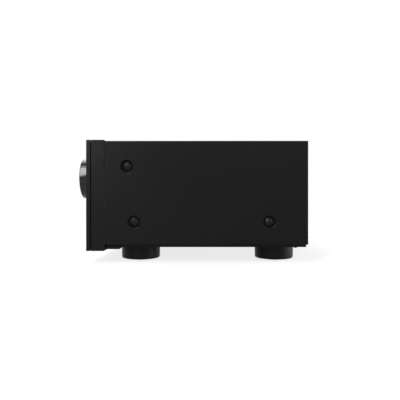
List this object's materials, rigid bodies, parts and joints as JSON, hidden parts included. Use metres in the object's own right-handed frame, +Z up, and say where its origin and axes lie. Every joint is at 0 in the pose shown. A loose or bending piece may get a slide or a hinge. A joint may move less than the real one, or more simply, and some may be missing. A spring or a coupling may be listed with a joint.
{
  "type": "av receiver",
  "caption": "Black audio and video receiver with a folded steel cover, a large volume knob, a dark display window and round feet.",
  "frame": {"origin": "on the surface it stands on, under the middle of the whole object", "axes": "+Z up, +X to the right of someone facing the front panel's back, -Y out of the front panel; +X is the longest side"},
  "size_m": [0.435, 0.329, 0.1602],
  "materials": {
    "cover_paint": "fine satin black powder coat on folded steel",
    "chassis_paint": "matt black coated steel",
    "rear_paint": "satin black coated steel",
    "bracket_steel": "plain zinc plated steel",
    "frame_plastic": "fine textured black moulding",
    "plate_aluminium": "black anodised, finely brushed",
    "knob_black": "smooth satin-gloss black",
    "button_black": "smooth black",
    "window_tint": "smoked clear acrylic",
    "display_glass": "dark glass with unlit segments",
    "lens_red": "translucent red",
    "board_green": "green solder mask",
    "jack_black": "black moulding",
    "socket_steel": "bright plated shell",
    "gold_plate": "gold plated",
    "shaft_steel": "turned steel",
    "encoder_metal": "zinc case",
    "core_steel": "varnished laminations",
    "winding_copper": "copper winding under clear tape",
    "sink_black": "plain extruded aluminium",
    "package_black": "black epoxy",
    "capacitor_sleeve": "shrunk plastic sleeve",
    "ribbon_grey": "grey flat cable",
    "terminal_plastic": "black moulding",
    "cap_red": "clear-tinted red moulding",
    "cap_black": "black moulding",
    "foot_plastic": "satin black moulding",
    "pad_rubber": "black rubber",
    "cover_screw": "black plated steel",
    "plain_screw": "black plated steel",
    "inlet_black": "black moulding"
  },
  "bodies": {
    "root": {"top_cover": "cover_paint", "base_chassis": "chassis_paint", "rear_panel": "rear_paint", "front_bracket": "bracket_steel", "front_frame": "frame_plastic", "front_plate": "plate_aluminium", "display_window": "window_tint", "display_module": "display_glass", "front_board": "board_green", "headphone_jack": "jack_black", "microphone_jack": "jack_black", "front_usb_socket": "socket_steel", "standby_lens": "lens_red", "rotary_encoders": "encoder_metal", "transformer_core": "core_steel", "transformer_winding": "winding_copper", "transformer_bracket": "bracket_steel", "heat_sink": "sink_black", "output_transistors": "package_black", "amplifier_board": "board_green", "filter_capacitors": "capacitor_sleeve", "digital_board": "board_green", "board_standoffs": "shaft_steel", "ribbon_cable": "ribbon_grey", "hdmi_sockets": "socket_steel", "speaker_terminal_base": "terminal_plastic", "speaker_terminal_posts": "gold_plate", "phono_jack_block": "jack_black", "phono_jack_sleeves": "gold_plate", "antenna_jack": "socket_steel", "mains_inlet": "inlet_black", "side_screws": "cover_screw", "rear_screws": "plain_screw", "base_screws": "plain_screw", "front_left_foot": "foot_plastic", "front_right_foot": "foot_plastic", "rear_left_foot": "foot_plastic", "rear_right_foot": "foot_plastic", "foot_pads": "pad_rubber"},
    "volume_control": {"volume_knob": "knob_black", "volume_shaft": "shaft_steel"},
    "selector_control": {"selector_knob": "knob_black", "selector_shaft": "shaft_steel"},
    "power_key": {"power_button": "button_black"},
    "function_key_1": {"function_button_1": "button_black"},
    "function_key_2": {"function_button_2": "button_black"},
    "function_key_3": {"function_button_3": "button_black"},
    "function_key_4": {"function_button_4": "button_black"},
    "function_key_5": {"function_button_5": "button_black"},
    "function_key_6": {"function_button_6": "button_black"},
    "cap_1": {"terminal_cap_1": "cap_black"},
    "cap_2": {"terminal_cap_2": "cap_black"},
    "cap_3": {"terminal_cap_3": "cap_black"},
    "cap_4": {"terminal_cap_4": "cap_black"},
    "cap_5": {"terminal_cap_5": "cap_black"},
    "cap_6": {"terminal_cap_6": "cap_red"},
    "cap_7": {"terminal_cap_7": "cap_red"},
    "cap_8": {"terminal_cap_8": "cap_red"},
    "cap_9": {"terminal_cap_9": "cap_red"},
    "cap_10": {"terminal_cap_10": "cap_red"}
  },
  "joints": [
    {"name": "volume_turn", "type": "hinge", "parent": "root", "child": "volume_control", "pos_m": [0.1525, -0.1645, 0.1132], "axis": [0, -1, 0], "continuous": true},
    {"name": "selector_turn", "type": "hinge", "parent": "root", "child": "selector_control", "pos_m": [-0.1525, -0.1645, 0.1132], "axis": [0, -1, 0], "continuous": true},
    {"name": "power_press", "type": "slide", "parent": "root", "child": "power_key", "axis": [0, 1, 0], "range_m": [0, 0.0008], "stiffness_N_per_m": 500, "springref_m": -0.001},
    {"name": "function_press_1", "type": "slide", "parent": "root", "child": "function_key_1", "axis": [0, 1, 0], "range_m": [0, 0.0008], "stiffness_N_per_m": 500, "springref_m": -0.001},
    {"name": "function_press_2", "type": "slide", "parent": "root", "child": "function_key_2", "axis": [0, 1, 0], "range_m": [0, 0.0008], "stiffness_N_per_m": 500, "springref_m": -0.001},
    {"name": "function_press_3", "type": "slide", "parent": "root", "child": "function_key_3", "axis": [0, 1, 0], "range_m": [0, 0.0008], "stiffness_N_per_m": 500, "springref_m": -0.001},
    {"name": "function_press_4", "type": "slide", "parent": "root", "child": "function_key_4", "axis": [0, 1, 0], "range_m": [0, 0.0008], "stiffness_N_per_m": 500, "springref_m": -0.001},
    {"name": "function_press_5", "type": "slide", "parent": "root", "child": "function_key_5", "axis": [0, 1, 0], "range_m": [0, 0.0008], "stiffness_N_per_m": 500, "springref_m": -0.001},
    {"name": "function_press_6", "type": "slide", "parent": "root", "child": "function_key_6", "axis": [0, 1, 0], "range_m": [0, 0.0008], "stiffness_N_per_m": 500, "springref_m": -0.001},
    {"name": "terminal_turn_1", "type": "hinge", "parent": "root", "child": "cap_1", "pos_m": [-0.11, 0.155, 0.0475], "axis": [0, 1, 0], "range_deg": [0, 1080]},
    {"name": "terminal_turn_2", "type": "hinge", "parent": "root", "child": "cap_2", "pos_m": [-0.086, 0.155, 0.0475], "axis": [0, 1, 0], "range_deg": [0, 1080]},
    {"name": "terminal_turn_3", "type": "hinge", "parent": "root", "child": "cap_3", "pos_m": [-0.062, 0.155, 0.0475], "axis": [0, 1, 0], "range_deg": [0, 1080]},
    {"name": "terminal_turn_4", "type": "hinge", "parent": "root", "child": "cap_4", "pos_m": [-0.038, 0.155, 0.0475], "axis": [0, 1, 0], "range_deg": [0, 1080]},
    {"name": "terminal_turn_5", "type": "hinge", "parent": "root", "child": "cap_5", "pos_m": [-0.014, 0.155, 0.0475], "axis": [0, 1, 0], "range_deg": [0, 1080]},
    {"name": "terminal_turn_6", "type": "hinge", "parent": "root", "child": "cap_6", "pos_m": [-0.11, 0.155, 0.0685], "axis": [0, 1, 0], "range_deg": [0, 1080]},
    {"name": "terminal_turn_7", "type": "hinge", "parent": "root", "child": "cap_7", "pos_m": [-0.086, 0.155, 0.0685], "axis": [0, 1, 0], "range_deg": [0, 1080]},
    {"name": "terminal_turn_8", "type": "hinge", "parent": "root", "child": "cap_8", "pos_m": [-0.062, 0.155, 0.0685], "axis": [0, 1, 0], "range_deg": [0, 1080]},
    {"name": "terminal_turn_9", "type": "hinge", "parent": "root", "child": "cap_9", "pos_m": [-0.038, 0.155, 0.0685], "axis": [0, 1, 0], "range_deg": [0, 1080]},
    {"name": "terminal_turn_10", "type": "hinge", "parent": "root", "child": "cap_10", "pos_m": [-0.014, 0.155, 0.0685], "axis": [0, 1, 0], "range_deg": [0, 1080]}
  ]
}
